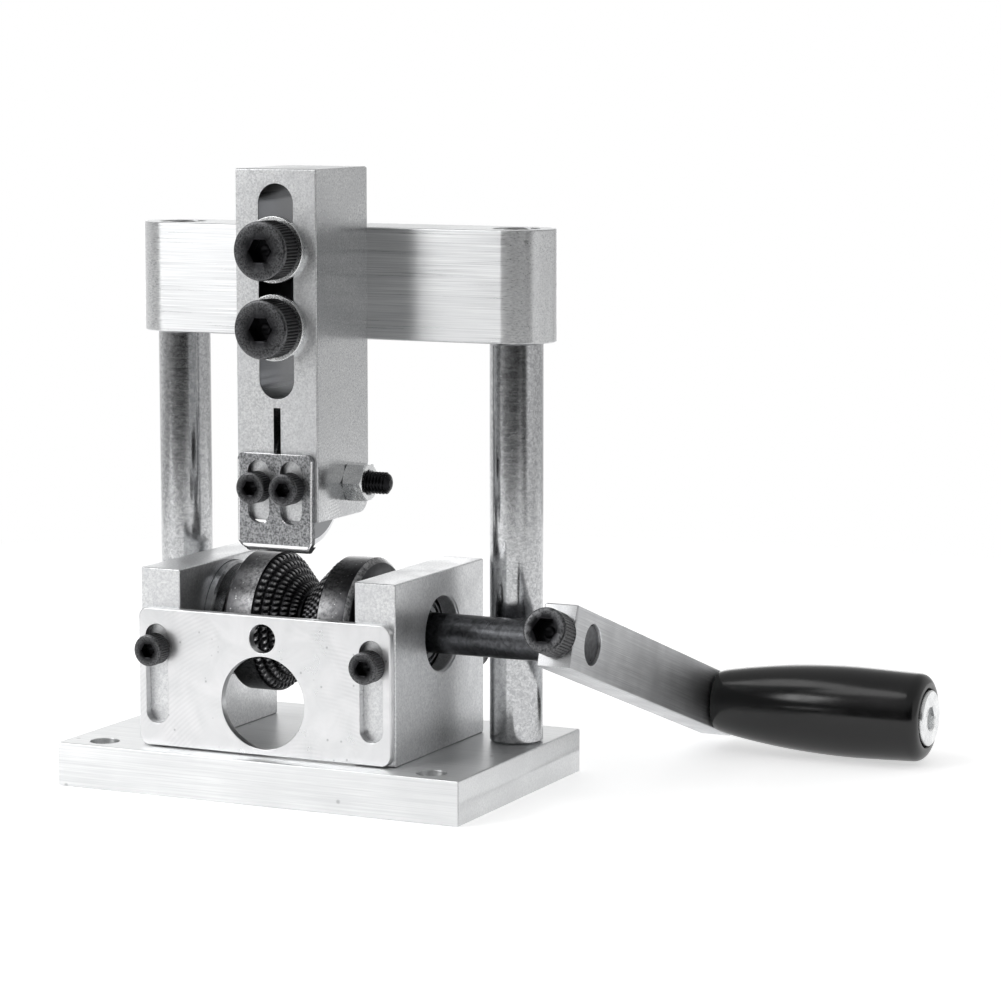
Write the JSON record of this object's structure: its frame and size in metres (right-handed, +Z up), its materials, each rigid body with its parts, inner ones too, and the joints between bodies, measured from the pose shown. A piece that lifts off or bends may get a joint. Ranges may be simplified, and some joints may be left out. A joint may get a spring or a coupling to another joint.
{
  "type": "hand crank wire stripper",
  "caption": "Bench wire stripper: a crank turns grooved feed wheels in a bearing frame under a cutting disc on an arm clamped to a bridge beam.",
  "frame": {"origin": "centre of the underside of the base plate", "axes": "+X along the drive shaft towards the crank, +Y from the wire guide plate towards the columns, +Z up"},
  "size_m": [0.1722, 0.1175, 0.1385],
  "materials": {
    "base_aluminium": "brushed",
    "beam_aluminium": "brushed along its length",
    "block_aluminium": "bead blasted",
    "arm_aluminium": "bead blasted",
    "column_steel": "ground",
    "guide_steel": "polished",
    "guard_steel": "bead blasted",
    "blade_steel": "ground",
    "shaft_steel": "ground and darkened",
    "wheel_steel": "black oxide, knurled cones",
    "screw_steel": "black oxide",
    "zinc_steel": "zinc plated",
    "bearing_steel": "polished",
    "crank_aluminium": "brushed",
    "grip_plastic": "glossy"
  },
  "bodies": {
    "frame": {"base_plate": "base_aluminium", "left_column": "column_steel", "right_column": "column_steel", "top_beam": "beam_aluminium", "beam_screws": "screw_steel", "column_base_screws": "screw_steel", "left_bearing_block": "block_aluminium", "right_bearing_block": "block_aluminium", "block_base_screws": "screw_steel", "block_rear_screws": "screw_steel", "bearing_outer_races": "bearing_steel", "bearing_shields": "bearing_steel", "bearing_balls": "bearing_steel", "arm_clamp_screws": "screw_steel", "arm_clamp_washers": "zinc_steel", "guide_plate_screws": "screw_steel"},
    "guide": {"guide_plate": "guide_steel"},
    "arm": {"cutter_arm": "arm_aluminium", "blade_bolt": "screw_steel", "blade_nut": "zinc_steel", "blade_bush": "zinc_steel", "guard_screws": "screw_steel"},
    "guard": {"depth_guard": "guard_steel"},
    "blade": {"cutting_blade": "blade_steel"},
    "drive": {"drive_shaft": "shaft_steel", "left_feed_wheel": "wheel_steel", "right_feed_wheel": "wheel_steel", "wheel_set_screws": "screw_steel", "wheel_spacers": "zinc_steel", "bearing_inner_races": "bearing_steel", "crank_bar": "crank_aluminium", "crank_clamp_screw": "screw_steel", "handle_spindle": "zinc_steel"},
    "grip": {"handle_grip": "grip_plastic"}
  },
  "joints": [
    {"name": "crank_turn", "type": "hinge", "parent": "frame", "child": "drive", "pos_m": [0, -0.002, 0.036], "axis": [1, 0, 0], "continuous": true},
    {"name": "grip_spin", "type": "hinge", "parent": "drive", "child": "grip", "pos_m": [0.0684, 0.07294, 0.011], "axis": [1, 0, 0], "continuous": true},
    {"name": "arm_slide", "type": "slide", "parent": "frame", "child": "arm", "axis": [0, 0, 1], "range_m": [-0.009, 0.012]},
    {"name": "guard_slide", "type": "slide", "parent": "arm", "child": "guard", "axis": [0, 0, 1], "range_m": [-0.0035, 0.0046]},
    {"name": "blade_spin", "type": "hinge", "parent": "arm", "child": "blade", "pos_m": [0, -0.004, 0.069], "axis": [1, 0, 0], "continuous": true},
    {"name": "guide_slide", "type": "slide", "parent": "frame", "child": "guide", "axis": [0, 0, 1], "range_m": [0, 0.014]}
  ]
}
